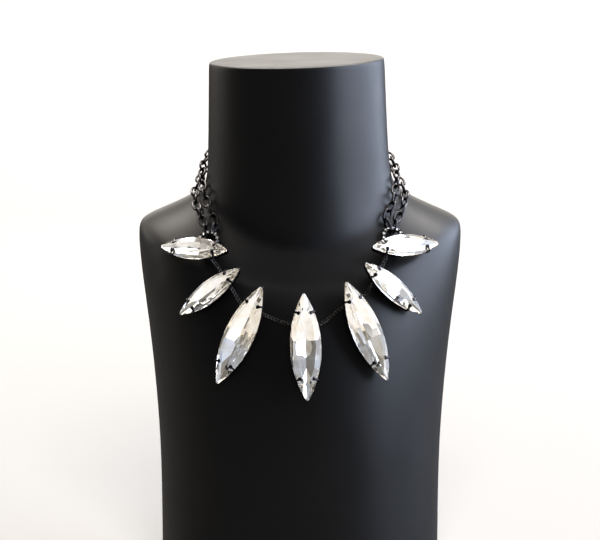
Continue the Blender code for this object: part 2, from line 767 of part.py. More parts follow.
def main():
    clear_scene()
    collection = new_collection(COLLECTION_NAME)
    cutters = new_collection("cutters")
    surface = Surface(make_bust(collection))
    clasp_frame = place_clasp(surface)
    make_clasp(clasp_frame, collection, cutters)
    rings, chain_ends = [], []
    for row in columns(RING_COLUMNS, RING_LAYOUT):
        side = -1 if row["name"] == "left" else 1
        frame = place_ring(row, surface)
        rings.append(frame)
        make_ring("pave_ring_" + row["name"], frame, collection, cutters)
        loop = clasp_loop(clasp_frame, side)
        ring_hole, loop_hole = RING_WIDTH / 2 - RING_BAND - RING_PLAY, CLASP_LOOP_WIDTH / 2 - CLASP_LOOP_WIRE
        for strand, route, way in (("outer", OUTER_CHAIN_ROUTE, 1), ("inner", INNER_CHAIN_ROUTE, -1)):
            start = chain_end(frame, ring_hole, -side * row[strand + "_deg"], surface)
            finish = chain_end(loop, loop_hole, way * side * CLASP_LINK_DEG, surface)
            points = start + strand_route(route, side, surface) + finish[::-1]
            make_strand("chain_%s_%s" % (row["name"], strand), points, collection, cutters)
        turn = math.radians(-side * row["fine_chain_deg"])
        out = Vector((math.cos(turn), math.sin(turn), 0)) * (RING_WIDTH / 2 + GAP + FINE_CHAIN_WIDTH / 2)
        chain_ends.append((frame @ out, frame.col[2].xyz))
    route = fine_chain_route(chain_ends, surface)
    make_fine_chain(route, collection)
    below = [(place, FINE_CHAIN_WIDTH / 2) for place, _ in route]
    below += [(place, 0) for frame in rings for place in ring_face(frame)]
    for row in columns(STONE_COLUMNS, STONE_LAYOUT):
        frame = place_stone(row, surface, below)
        make_setting(row["name"], row["size"], frame, collection)
        make_stone(row["name"], row["size"], frame, collection)
    stand_on_origin(list(collection.objects), list(cutters.objects))


if __name__ == "__main__":
    main()
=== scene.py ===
"""The looks of a bib necklace of seven marquise stones on a black display bust.

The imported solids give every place. Each piece is modelled round its solid, in
metres, +Z up, the chest facing -Y.
"""

import math

import bpy
from mathutils import Matrix, Vector
from mathutils.bvhtree import BVHTree


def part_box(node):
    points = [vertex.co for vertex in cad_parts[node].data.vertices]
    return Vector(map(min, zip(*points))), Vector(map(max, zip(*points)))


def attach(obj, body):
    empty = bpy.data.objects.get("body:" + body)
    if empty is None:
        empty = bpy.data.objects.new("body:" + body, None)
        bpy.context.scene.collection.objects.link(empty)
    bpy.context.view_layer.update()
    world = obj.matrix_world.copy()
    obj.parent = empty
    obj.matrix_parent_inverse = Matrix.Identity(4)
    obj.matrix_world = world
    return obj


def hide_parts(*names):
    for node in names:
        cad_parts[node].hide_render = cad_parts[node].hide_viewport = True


bl_info = {
    "name": "Bib necklace on a neck bust",
    "version": (1, 0, 0),
    "blender": (4, 5, 0),
    "location": "3D View > Sidebar > Necklace",
    "description": "Models a marquise stone necklace and its bust round the packed frame",
    "category": "Object",
}

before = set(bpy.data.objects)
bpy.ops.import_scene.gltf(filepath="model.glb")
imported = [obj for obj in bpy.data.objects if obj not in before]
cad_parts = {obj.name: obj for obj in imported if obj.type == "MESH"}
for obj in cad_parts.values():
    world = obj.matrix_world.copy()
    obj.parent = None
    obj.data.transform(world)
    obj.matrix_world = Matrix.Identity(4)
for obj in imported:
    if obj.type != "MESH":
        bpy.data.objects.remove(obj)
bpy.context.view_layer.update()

MM = 0.001

# Stones from left to right in the photo, and which of the two sizes each is
STONES = (
    ("left_1", "medium"), ("left_2", "medium"), ("left_3", "large"), ("centre", "large"),
    ("right_3", "large"), ("right_2", "medium"), ("right_1", "medium"),
)

# The neck chains' routes from ring to clasp: degrees round the neck from the
# middle of its back, and height above its foot as a share of its width
NECK_ROUTES = {
    "outer": (
        (119, -0.20), (110, -0.145), (99, -0.085), (88, -0.02),
        (76, 0.03), (60, 0.06), (44, 0.07), (32, 0.07),
    ),
    "inner": (
        (118, -0.135), (109, -0.07), (99, -0.01), (88, 0.05),
        (76, 0.105), (60, 0.16), (44, 0.20), (32, 0.22),
    ),
}
# The turns from straight uphill, outwards, at which the chains leave a ring
RING_TURNS_DEG = {"outer": 24, "inner": -8, "fine": -165}

# The fine chain's route from ring to ring, as shares of half the neck's width:
# across from the middle line, and down from the front of the collar
FINE_ROUTE = (
    (-0.90, 0.27), (-0.82, 0.38), (-0.70, 0.54), (-0.625, 0.655), (-0.50, 0.72), (-0.375, 0.77),
    (-0.24, 0.825), (-0.09, 0.87), (0.06, 0.885), (0.21, 0.86), (0.325, 0.79), (0.42, 0.715),
    (0.545, 0.66), (0.66, 0.605), (0.755, 0.485), (0.82, 0.395), (0.86, 0.325), (0.92, 0.20),
)
SIDES = ((-1, "left"), (1, "right"))
NECK_FOOT_HEIGHT = 219 * MM
NECK_WIDTH = 101.5 * MM
COLLAR_HEIGHT = 191 * MM
CLASP_HEIGHT = 234 * MM
CLASP_BEND_DEG = 9
CLASP_LINK_DEG = 28
GAP = 0.3 * MM

# How finely routes are drawn and measured, how far apart those places are whose
# normals are averaged, and how far off the rays start
STEPS_BETWEEN_POINTS = 24
HALVINGS = 30
NORMAL_SPREAD = 5 * MM
AFAR = 1


# Colours

def linear(hex_text):
    """An sRGB colour written as six hex digits, as the linear colour that shaders take."""
    shares = [int(hex_text[i:i + 2], 16) / 255 for i in (0, 2, 4)]
    return tuple(s / 12.92 if s <= 0.04045 else ((s + 0.055) / 1.055) ** 2.4 for s in shares)


def colour(name, description, hex_text):
    return bpy.props.FloatVectorProperty(
        name=name, description=description, subtype="COLOR", size=3, min=0, max=1, default=linear(hex_text))


def size(name, description, mm):
    return bpy.props.FloatProperty(
        name=name, description=description, unit="LENGTH", precision=5, min=0, default=mm * MM)


# Sizes and colours that a user would change

class BustLooks(bpy.types.PropertyGroup):
    smoothing: bpy.props.IntProperty(
        name="Smoothing", description="Subdivisions that round the moulded shell", min=0, max=3, default=2)
    black: colour("Black", "Pigment of the shell", "030304")
    grain: size("Grain", "Spacing of the fine moulded grain", 0.35)
    orange_peel: size("Orange peel", "Spacing of the soft waves in the surface", 9)


class StoneLooks(bpy.types.PropertyGroup):
    large_length: size("Large length", "Tip to tip of a front stone", 58.7)
    large_width: size("Large width", "Across a front stone", 16.8)
    medium_length: size("Medium length", "Tip to tip of a side stone", 43.3)
    medium_width: size("Medium width", "Across a side stone", 12.5)
    crown: size("Crown", "Height of the table over the girdle", 1.92)
    pavilion: size("Pavilion", "Depth of the keel under the girdle", 3.4)
    girdle: size("Girdle", "Half the height of the edge band", 0.22)
    crystal: colour("Crystal", "Tint of the cut glass", "FDFEFF")
    foil: colour("Foil", "Silver foil behind the glass", "F8F8F7")
    thin_foil: colour("Thin foil", "Foil where it is thin", "EDE6DA")


class SettingLooks(bpy.types.PropertyGroup):
    depth: size("Depth", "Depth of the cup under the girdle", 5.8)
    taper: size("Taper", "How far the cup draws in at its foot", 1.6)
    rim_drop: size("Rim drop", "From the girdle down to the rim", 0.7)
    wall: size("Wall", "Thickness of the sheet metal", 0.7)
    prong_width: size("Prong width", "Across a claw", 1.8)
    prong_thickness: size("Prong thickness", "Thickness of a claw", 0.8)
    prong_reach: size("Prong reach", "How far a claw reaches in over the crown", 2.8)
    gunmetal: colour("Gunmetal", "Dark plating of the cups and chains", "403E41")


class RingLooks(bpy.types.PropertyGroup):
    width: size("Width", "Outside of the ring", 14)
    band: size("Band", "Width of the band", 2.5)
    thickness: size("Thickness", "Thickness of the band", 1.6)
    stones: bpy.props.IntProperty(name="Stones", description="Small stones round the ring", min=3, default=14)
    stone_width: size("Stone width", "Across a small stone", 1.9)
    bead: size("Bead", "Across a bead that holds the small stones", 0.5)


class ChainLooks(bpy.types.PropertyGroup):
    link_pitch: size("Link pitch", "From one meeting of links to the next", 7.1)
    link_width: size("Link width", "Outside width of a neck chain's link", 5.4)
    wire: size("Wire", "Wire of a neck chain's link", 1.3)
    bite: size("Bite", "How far the wires of two links press together", 0.1)
    play: size("Play", "How loosely an end link hangs in its ring", 0.5)
    squareness: bpy.props.FloatProperty(
        name="Squareness", description="2 is an ellipse, and more is squarer", min=2, default=2.5)
    twist_deg: bpy.props.FloatProperty(name="Twist", description="Most that a neck chain turns", default=42)
    fine_pitch: size("Fine pitch", "From one meeting of curb links to the next", 1.9)
    fine_width: size("Fine link width", "Outside width of a curb link", 2.0)
    fine_wire: size("Fine wire", "Wire of a curb link", 0.52)
    fine_rest: size("Fine rest", "How far the curb chain stands off the chest", 0.1)
    curb_deg: bpy.props.FloatProperty(name="Curb", description="Twist of a curb link at each end", default=45)
    # The fine chain's plating is the same as the cups'; this lighter colour paints in its highlights
    gunmetal: colour("Rubbed gunmetal", "Plating of the fine chain, rubbed light", "7C7876")
    clasp_length: size("Clasp length", "Length of the clasp's barrel", 10)
    clasp_width: size("Clasp width", "Across the clasp's barrel", 4.4)
    loop_width: size("Loop width", "Outside of the clasp's loops", 7.8)
    loop_wire: size("Loop wire", "Wire of the clasp's loops", 1.3)


class StageLooks(bpy.types.PropertyGroup):
    paper: colour("Paper", "White paper sweep", "909090")
    warm: colour("Warm light", "Tint of the lamps and of the warm cards", "FFF8EF")
    cool: colour("Cool light", "Tint of the window and of the cool cards", "DCE8FF")


LOOKS = {
    "bust_looks": BustLooks,
    "stone_looks": StoneLooks,
    "setting_looks": SettingLooks,
    "ring_looks": RingLooks,
    "chain_looks": ChainLooks,
    "stage_looks": StageLooks,
}


# Materials

def add_node(tree, kind, settings=None, **sockets):
    """A node. Each socket, by name or as i and its number, gets a value or is linked from an output."""
    node = tree.nodes.new(kind)
    for name, value in (settings or {}).items():
        setattr(node, name, value)
    for name, value in sockets.items():
        socket = node.inputs[int(name[1:])] if name[0] == "i" and name[1:].isdigit() else node.inputs[name]
        if isinstance(value, bpy.types.NodeSocket):
            tree.links.new(value, socket)
        else:
            socket.default_value = value
    return node


def start_material(name, settings):
    """A material with shader settings, its tree and its shader."""
    material = bpy.data.materials.new(name)
    material.use_nodes = True
    tree = material.node_tree
    shader = tree.nodes["Principled BSDF"]
    for key, value in settings.items():
        shader.inputs[key].default_value = value
    return material, tree, shader


def spots(tree, spacing, **more):
    """Soft noise whose spots lie about this far apart on the piece."""
    place = add_node(tree, "ShaderNodeTexCoord").outputs["Object"]
    return add_node(tree, "ShaderNodeTexNoise", Vector=place, Scale=1 / spacing, **more).outputs["Fac"]


def stretched(tree, value, low, high, start, end):
    """A value carried over from one span to another."""
    node = add_node(tree, "ShaderNodeMapRange", Value=value, i1=low, i2=high, i3=start, i4=end)
    return node.outputs["Result"]


def tint_between(tree, shader, share, first, second):
    """Colours the shader a share of the way from the first colour to the second."""
    tint = add_node(tree, "ShaderNodeMix", {"data_type": "RGBA"}, Factor=share,
                    i6=(*first, 1), i7=(*second, 1))
    tree.links.new(tint.outputs[2], shader.inputs["Base Color"])


def moulded_black_plastic(looks):
    """ABS sprayed satin black: deep black with soft broad lights, a little uneven where hands have
    polished it, and a fine sprayed grain that breaks up the gloss."""
    material, tree, shader = start_material("satin_black_abs", {
        "Base Color": (*looks.black, 1), "IOR": 1.52})
    handled = spots(tree, 40 * MM, Detail=4, Roughness=0.6)
    tree.links.new(stretched(tree, handled, 0.3, 0.7, 0.38, 0.46), shader.inputs["Roughness"])
    grain = spots(tree, looks.grain, Detail=2, Roughness=0.5)
    waves = spots(tree, looks.orange_peel, Detail=1)
    peel = add_node(tree, "ShaderNodeBump", Height=waves, Strength=0.15, Distance=0.2 * MM)
    bump = add_node(tree, "ShaderNodeBump", Height=grain, Strength=0.12, Distance=0.02 * MM,
                    Normal=peel.outputs["Normal"])
    tree.links.new(bump.outputs["Normal"], shader.inputs["Normal"])
    return material


def cut_crystal(looks):
    """Lead crystal, ground and polished: clear glass whose facets bend and split the light."""
    return start_material("polished_lead_crystal", {
        "Base Color": (*looks.crystal, 1), "Transmission Weight": 1, "Roughness": 0, "IOR": 1.56})[0]


def silver_foil(looks):
    """Silver foiling on the back facets: a bright mirror that turns cream where it is thin."""
    material, tree, shader = start_material("silver_foiling", {"Metallic": 1, "Roughness": 0.02})
    patches = spots(tree, 7 * MM, Detail=3, Roughness=0.6)
    tint_between(tree, shader, stretched(tree, patches, 0.4, 0.68, 0, 1), looks.foil, looks.thin_foil)
    return material


def gunmetal_plate(looks):
    """Black plate on polished brass: a dark mirror with grey lights, a little darker and duller in random
    patches.
    """
    material, tree, shader = start_material("gunmetal_plated_brass", {"Metallic": 1})
    wear = spots(tree, 2.5 * MM, Detail=5, Roughness=0.6)
    tree.links.new(stretched(tree, wear, 0.35, 0.7, 0.14, 0.28), shader.inputs["Roughness"])
    tint_between(tree, shader, wear, [c * 0.6 for c in looks.gunmetal], looks.gunmetal)
    return material


def rubbed_gunmetal(looks):
    """The same plate, made lighter as a painted highlight on the fine chain: light grey points on dark metal.
    """
    material = gunmetal_plate(looks)
    material.name = "rubbed_gunmetal_plate"
    return material


def white_paper(looks):
    """Seamless background paper: white and quite matt."""
    return start_material("white_background_paper", {
        "Base Color": (*looks.paper, 1), "Roughness": 0.9, "Specular IOR Level": 0.2})[0]


MAKERS = {
    "bust": (moulded_black_plastic, "bust_looks"),
    "crystal": (cut_crystal, "stone_looks"),
    "foil": (silver_foil, "stone_looks"),
    "gunmetal": (gunmetal_plate, "setting_looks"),
    # A lighter copy of the plating: painted highlight on the fine chain
    "rubbed_gunmetal": (rubbed_gunmetal, "chain_looks"),
    "paper": (white_paper, "stage_looks"),
}
made_materials = {}


def material_of(key):
    """The material under a short name, made when it is first asked for."""
    if key not in made_materials:
        maker, looks = MAKERS[key]
        made_materials[key] = maker(getattr(bpy.context.scene, looks))
    return made_materials[key]


# Modelling

KEEPING_ROUNDS = 3
BLANK_CORNER = MM
WELD = 0.01 * MM


def deselect():
    if bpy.context.object and bpy.context.object.mode != "OBJECT":
        bpy.ops.object.mode_set(mode="OBJECT")
    bpy.ops.object.select_all(action="DESELECT")


def taken(name):
    """The object that an operator has just added, under its own name."""
    thing = bpy.context.object
    thing.name = name
    thing.data.name = name
    return thing


def only(thing):
    deselect()
    thing.select_set(True)
    bpy.context.view_layer.objects.active = thing


def edit(thing):
    only(thing)
    bpy.ops.object.mode_set(mode="EDIT")


def edit_all(thing):
    edit(thing)
    bpy.ops.mesh.select_all(action="SELECT")


def leave_edit():
    bpy.ops.object.mode_set(mode="OBJECT")


def choose(thing, wanted, domain="polygons"):
    """In object mode, selects the faces, edges or vertices for which wanted is true."""
    for part in (thing.data.vertices, thing.data.edges, thing.data.polygons):
        part.foreach_set("select", [False] * len(part))
    for item in getattr(thing.data, domain):
        item.select = wanted(item)


def drawn(name, outlines):
    """A closed solid: a circle laid on the first outline and extruded through the others."""
    deselect()
    count = len(outlines[0])
    bpy.ops.mesh.primitive_circle_add(vertices=count, radius=BLANK_CORNER, fill_type="NGON")
    thing = taken(name)
    ring = list(range(count))
    for index, point in zip(ring, outlines[0]):
        thing.data.vertices[index].co = point
    for outline in outlines[1:]:
        edit(thing)
        bpy.ops.mesh.extrude_region_move()
        leave_edit()
        verts = thing.data.vertices
        fresh = [v.index for v in verts if v.select]
        ring = [min(fresh, key=lambda j: (verts[j].co - verts[i].co).length_squared) for i in ring]
        for index, point in zip(ring, outline):
            verts[index].co = point
    edit(thing)
    bpy.ops.mesh.select_all(action="DESELECT")
    bpy.ops.mesh.select_non_manifold()
    thing.update_from_editmode()
    if any(edge.select for edge in thing.data.edges):
        bpy.ops.mesh.edge_face_add()
    face_outwards(thing)
    return thing


def torus(name, radii, steps):
    """A torus: its own radius and its wire's, and the steps round each."""
    deselect()
    bpy.ops.mesh.primitive_torus_add(major_radius=radii[0], minor_radius=radii[1],
                                     major_segments=steps[0], minor_segments=steps[1])
    return taken(name)


def smoothed(thing, levels):
    """Applies a Subdivision Surface."""
    only(thing)
    smoothing = thing.modifiers.new("smoothing", "SUBSURF")
    smoothing.levels = levels
    smoothing.render_levels = levels
    bpy.ops.object.modifier_apply(modifier=smoothing.name)
    bpy.ops.object.shade_smooth()
    return thing


def keep_points(thing, levels):
    """Moves points out by as much as smoothing would pull them in."""
    wanted = [vert.co.copy() for vert in thing.data.vertices]
    smoothing = thing.modifiers.new("smoothing", "SUBSURF")
    smoothing.levels = levels
    for _ in range(KEEPING_ROUNDS):
        seen = thing.evaluated_get(bpy.context.evaluated_depsgraph_get()).data
        moves = [place - seen.vertices[i].co for i, place in enumerate(wanted)]
        for vert, move in zip(thing.data.vertices, moves):
            vert.co += move
        thing.data.update()
    thing.modifiers.remove(smoothing)


def shade_by_angle(thing, sharp_deg):
    """Shades smooth but for edges that turn by more than an angle."""
    only(thing)
    bpy.ops.object.shade_smooth_by_angle(angle=math.radians(sharp_deg))


def face_outwards(thing):
    edit_all(thing)
    bpy.ops.mesh.normals_make_consistent(inside=False)
    leave_edit()


def copied(thing, name, matrix):
    """A copy with its own mesh, placed by a matrix."""
    only(thing)
    bpy.ops.object.duplicate(linked=False)
    copy = taken(name)
    copy.data.transform(matrix)
    return copy


def joined(name, things):
    only(things[0])
    for thing in things:
        thing.select_set(True)
    bpy.ops.object.join()
    return taken(name)


def powered(value, power):
    """A power that keeps the value's sign."""
    return math.copysign(abs(value) ** power, value)


def discard(*things):
    deselect()
    for thing in things:
        thing.select_set(True)
    bpy.ops.object.delete()


def dress(thing, *keys):
    """Gives a piece its materials. Faces keep their slot numbers."""
    thing.data.materials.clear()
    for key in keys:
        thing.data.materials.append(material_of(key))
    return thing


def hand_over(piece, slot, *nodes):
    """Puts a finished piece on the frame in place of its solids."""
    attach(piece, "root")
    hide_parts(*nodes)


# Places

def axes_to_matrix(origin, along, off):
    """A frame with X along, Z off the surface and Y across."""
    along = along.normalized()
    off = (off - off.project(along)).normalized()
    matrix = Matrix((along, off.cross(along), off)).transposed().to_4x4()
    matrix.translation = origin
    return matrix


def widest_face_normal(mesh):
    """The direction that the largest area of a solid faces."""
    areas = {}
    for face in mesh.polygons:
        key = tuple(round(c, 2) for c in face.normal)
        total, normals = areas.get(key, (0, Vector()))
        areas[key] = (total + face.area, normals + face.normal * face.area)
    return max(areas.values(), key=lambda entry: entry[0])[1].normalized()


def stone_seat(node):
    """A stone's own frame, from its solid: X from its head to its tip, Z out of its table."""
    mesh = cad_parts[node].data
    points = [v.co for v in mesh.vertices]
    ends = max(((a, b) for a in points for b in points), key=lambda pair: (pair[0] - pair[1]).length)
    middle = ends[0].lerp(ends[1], 0.5)
    along = ends[1] - ends[0]
    throat = Vector((0, middle.y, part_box("pave_ring_left")[1].z))
    if along.dot(middle - throat) < 0:
        along = -along
    return axes_to_matrix(middle, along, widest_face_normal(mesh))


def ring_seat(node, looks):
    """A ring's own frame, from its solid: X uphill, Z out of its face."""
    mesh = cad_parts[node].data
    off = widest_face_normal(mesh)
    if off.y > 0:
        off = -off
    turned = axes_to_matrix(Vector(), Vector((0, 0, 1)) - off * off.z, off)
    seen = [turned.inverted() @ v.co for v in mesh.vertices]
    low = Vector(min(p[i] for p in seen) for i in range(3))
    high = Vector(max(p[i] for p in seen) for i in range(3))
    middle = (low + high) / 2
    middle.z = low.z + looks.thickness / 2
    turned.translation = turned @ middle
    return turned


# Bust

# Faces under this are the bust's foot
FOOT_HEIGHT = 0.1 * MM
BUST_SHARP_DEG = 50
# What lies above this is the neck's flat top, which falls by this towards the chest
NECK_RIM_HEIGHT = 280 * MM
NECK_TOP_DEG = 2.6


class NECKLACE_OT_bust(bpy.types.Operator):
    """Rounds a copy of the bust's solid"""
    bl_idname = "necklace.bust"
    bl_label = "Neck bust"

    def execute(self, context):
        looks = context.scene.bust_looks
        only(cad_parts["neck_bust"])
        bpy.ops.object.duplicate(linked=False)
        bust = taken("bust_shell")
        bust.parent = None
        edit_all(bust)
        bpy.ops.mesh.remove_doubles(threshold=WELD)
        bpy.ops.mesh.tris_convert_to_quads(face_threshold=math.pi, shape_threshold=math.pi)
        leave_edit()
        sides = {}
        for face in bust.data.polygons:
            in_foot = all(bust.data.vertices[i].co.z < FOOT_HEIGHT for i in face.vertices)
            for key in face.edge_keys:
                sides.setdefault(key, set()).add(in_foot)
        choose(bust, lambda edge: len(sides[edge.key]) == 2, "edges")
        edit(bust)
        bpy.ops.transform.edge_crease(value=1)
        leave_edit()
        choose(bust, lambda vert: vert.co.z > NECK_RIM_HEIGHT, "vertices")
        back = max(vert.co.y for vert in bust.data.vertices if vert.select)
        edit(bust)
        bpy.ops.transform.rotate(value=-math.radians(NECK_TOP_DEG), orient_axis="X",
                                 center_override=(0, back, NECK_RIM_HEIGHT))
        leave_edit()
        keep_points(bust, looks.smoothing)
        smoothed(bust, looks.smoothing)
        face_outwards(bust)
        shade_by_angle(bust, BUST_SHARP_DEG)
        dress(bust, "bust")
        hand_over(bust, "bust", "neck_bust")
        return {"FINISHED"}


# Stones

# Steps along a navette's side. They crowd towards its tips and stop short of them
NAVETTE_STEPS = 14
NAVETTE_REACH = 0.97

# A back facet's normal points down by more than this
BACK_FACING = 0.2
# Points this close become one, and points this close to a plane lie on it
FACET_WELD = 0.005 * MM
PLANE_WELD = 1e-7


def navette_point(length, width, grow, share, side=1):
    """A point on a side of a navette that is grown by a margin, and the way out of it."""
    radius = (length ** 2 + width ** 2) / (4 * width)
    offset = radius - width / 2
    tip = math.sqrt((radius + grow) ** 2 - offset ** 2)
    x = share * tip
    y = math.sqrt((radius + grow) ** 2 - x ** 2) - offset
    return Vector((x, side * y, 0)), Vector((x, side * (y + offset), 0)).normalized()


def navette(length, width, grow, z):
    """Points round a navette at a height, from tip to tip and back."""
    turns = [math.pi / 2 * NAVETTE_REACH * (2 * i / NAVETTE_STEPS - 1) for i in range(NAVETTE_STEPS + 1)]
    shares = [math.sin(turn) for turn in turns]
    side = [navette_point(length, width, grow, share)[0] for share in shares]
    tip = abs(navette_point(length, width, grow, 1)[0].x)
    around = [Vector((-tip, 0, z))] + [Vector((p.x, -p.y, z)) for p in side]
    return around + [Vector((tip, 0, z))] + [Vector((p.x, p.y, z)) for p in side[::-1]]


# Facets of a stone, each a plane through the edge of the girdle: where along the
# side it is ground, as a share of half the length, and its angle from the table
CROWN_FACETS = (
    (-0.66, 25.5), (-0.22, 27), (0.22, 27), (0.66, 25.5),
    (-0.86, 37.5), (-0.44, 38), (0.0, 38), (0.44, 38), (0.86, 37.5),
)
UNDER_FACETS = (
    (-0.86, 16), (-0.56, 19), (0.6, 19), (0.86, 16.5),
    (-0.38, 31), (-0.02, 30), (0.36, 31), (-0.76, 33), (0.74, 33),
)
TIP_CROWN_DEG = 22.5
TIP_UNDER_DEG = 15
TIP_CUT = 1.0 * MM

# Long facets that meet along the keel: the end that each falls towards, how deep
# its plane lies under the middle in half widths, and its slopes across and along
KEEL_FACETS = (
    (-1, 0.405, 0.245, 0.010),
    (1, 0.405, 0.25, 0.013),
    (0, 0.405, 0.29, 0.0),
    (-1, 0.424, 0.335, 0.010),
    (1, 0.422, 0.33, 0.012),
)


def leaning(out, angle, height):
    """The normal of a facet above or below the girdle, by its angle from the table."""
    lean = math.radians(angle)
    return Vector((out.x * math.sin(lean), out.y * math.sin(lean), math.copysign(math.cos(lean), height)))


def grind(point, normal):
    """Grinds away what lies beyond a plane, and polishes the cut flat."""
    bpy.ops.mesh.select_all(action="SELECT")
    bpy.ops.mesh.bisect(plane_co=point, plane_no=normal, use_fill=True, clear_outer=True,
                        threshold=PLANE_WELD)


def faces_back(face):
    return face.normal.z < -BACK_FACING


def foil_back(stone):
    """Crystal in front, and foil in the second slot on the facets behind."""
    dress(stone, "crystal", "foil")
    for face in stone.data.polygons:
        face.material_index = int(faces_back(face))
    return stone


def cut_stone(name, length, width, looks):
    """A navette blank ground facet by facet and foiled behind."""
    blank = drawn(name, [navette(length, width, 0, z) for z in (-looks.pavilion, looks.crown)])
    edit(blank)
    for side in (-1, 1):
        for height, facets in ((looks.girdle, CROWN_FACETS), (-looks.girdle, UNDER_FACETS)):
            for share, angle in facets:
                point, out = navette_point(length, width, 0, share, side)
                grind(Vector((point.x, point.y, height)), leaning(out, angle, height))
        for end, depth, across, along in KEEL_FACETS:
            grind(Vector((0, 0, -depth * width / 2)), Vector((end * along, side * across, -1)).normalized())
        for height, angle in ((looks.girdle, TIP_CROWN_DEG), (-looks.girdle, TIP_UNDER_DEG)):
            normal = leaning(Vector((side, 0, 0)), angle, height)
            grind(Vector((side * length / 2, 0, height)), normal)
        grind(Vector((side * (length / 2 - TIP_CUT), 0, 0)), Vector((side, 0, 0)))
    bpy.ops.mesh.select_all(action="SELECT")
    bpy.ops.mesh.remove_doubles(threshold=FACET_WELD)
    leave_edit()
    face_outwards(blank)
    bpy.ops.object.shade_flat()
    return foil_back(blank)


def stone_sizes(looks):
    """The length and width of each size of stone."""
    return {kind: (getattr(looks, kind + "_length"), getattr(looks, kind + "_width"))
            for kind in ("large", "medium")}


class NECKLACE_OT_stones(bpy.types.Operator):
    """Grinds one stone of each size and sets copies in the seven seats"""
    bl_idname = "necklace.stones"
    bl_label = "Marquise stones"

    def execute(self, context):
        looks = context.scene.stone_looks
        models = {kind: cut_stone(kind + "_stone", *sides, looks)
                  for kind, sides in stone_sizes(looks).items()}
        for place, kind in STONES:
            node = "stone_" + place
            stone = copied(models[kind], "cut_" + node, stone_seat(node))
            hand_over(stone, "crystal", node)
        discard(*models.values())
        return {"FINISHED"}


# Settings

# Where the claws stand along a stone's side, as shares of half its length
PRONG_PLACES = (-0.64, 0.6)
CUP_SHARP_DEG = 38
PRONG_SMOOTHING = 2

# Steps of the cup's rounded edges, and how far in its flat foot starts, in walls
ROUND_STEP = math.pi / 6
FOOT_INSET_WALLS = 0.6
# The groove round the cup: shares of the way up its wall, and its depth there
CUP_GROOVE = ((0.42, 0), (0.46, 0.16 * MM), (0.52, 0.16 * MM), (0.56, 0))

# A claw from its foot up and in over the crown: how far out of the girdle and how
# high in mm, the lean of its section, and its share of the width. The last three
# are given again for its tip
CLAW_SPINE = (
    (-0.9, -4.4, 90, 0.7), (-0.35, -3.6, 90, 0.85), (0.2, -2.0, 90, 0.95), (0.62, -0.5, 90, 1.0),
    (0.66, 0.25, 78, 0.9), (0.4, 0.85, 45, 0.85), (-0.2, 1.2, 24, 0.65), (-0.9, 1.5, 24, 0.6),
    (-1.4, 1.8, 24, 1.25), (-2.3, 2.2, 24, 1.35),
)
CLAW_TIP = (2.3, 28, 0.9)


def cup_outlines(length, width, looks):
    """Outlines from the foot up the wall, over the rim and down inside."""
    foot, rim, edge = -looks.depth, -looks.rim_drop, looks.wall / 2
    levels = [(-looks.taper - FOOT_INSET_WALLS * looks.wall, foot)]
    for turn in (ROUND_STEP * i for i in (1, 2, 3)):
        levels.append((-looks.taper - edge + edge * math.sin(turn), foot + edge - edge * math.cos(turn)))
    for share, groove in CUP_GROOVE:
        levels.append((-looks.taper * (1 - share) - groove, foot + (rim - foot) * share))
    for turn in (ROUND_STEP * i for i in range(7)):
        levels.append((-edge + edge * math.cos(turn), rim - edge + edge * math.sin(turn)))
    levels.append((-looks.taper - looks.wall, foot + looks.wall))
    return [navette(length, width, grow, z) for grow, z in levels]


def prong_outlines(length, width, share, side, looks):
    """Sections of a claw that comes out of the wall, passes the girdle and bends in."""
    half, thick = looks.prong_width / 2, looks.prong_thickness
    base, out = navette_point(length, width, 0, share, side)
    across = Vector((out.y, -out.x, 0))
    tip = (-looks.prong_reach / MM, *CLAW_TIP)
    outlines = []
    for away, height, lean, wide in (*CLAW_SPINE, tip):
        turn = math.radians(lean)
        upright = out * math.sin(turn) + Vector((0, 0, math.cos(turn)))
        middle = base + out * away * MM + Vector((0, 0, height * MM))
        w, t = across * half * wide, upright * thick / 2
        outlines.append([middle - w - t, middle + w - t, middle + w + t, middle - w + t])
    return outlines


class NECKLACE_OT_settings(bpy.types.Operator):
    """Raises a cup with four claws for each size of stone"""
    bl_idname = "necklace.settings"
    bl_label = "Cups and claws"

    def execute(self, context):
        looks = context.scene.setting_looks
        models = {}
        for kind, (length, width) in stone_sizes(context.scene.stone_looks).items():
            cup = drawn(kind + "_cup", cup_outlines(length, width, looks))
            shade_by_angle(cup, CUP_SHARP_DEG)
            parts = [cup]
            for share in PRONG_PLACES:
                for side in (-1, 1):
                    prong = drawn("prong", prong_outlines(length, width, share, side, looks))
                    parts.append(smoothed(prong, PRONG_SMOOTHING))
            models[kind] = dress(joined(kind + "_setting", parts), "gunmetal")
        for place, kind in STONES:
            seat = stone_seat("stone_" + place)
            setting = copied(models[kind], "cup_and_claws_" + place, seat)
            hand_over(setting, "gunmetal", "setting_" + place)
        discard(*models.values())
        return {"FINISHED"}


# Rings of small stones

# A small stone: facets round, heights, and the widths of its table and of its foot
# as shares of its own
SMALL_FACETS = 8
SMALL_CROWN = 0.34 * MM
SMALL_EDGE = 0.08 * MM
SMALL_BACK = 0.24 * MM
SMALL_TABLE = 0.55
SMALL_FOOT = 0.25

# How square the band's section is, and the channel along its face: its share of the
# width, its depth in half thicknesses, and the height that it starts from
BAND_SQUARING = 0.45
CHANNEL_SHARE = 0.65
CHANNEL_DEPTH = 0.5
CHANNEL_ABOVE = 0.95
BAND_STEPS = (72, 20)
BAND_SHARP_DEG = 35

# Where the beads stand, as a share of the band's width, and how deep the stones sit
BEAD_REACH = 0.3
BEAD_ROUNDING = 2
STONE_SINK = 0.02 * MM


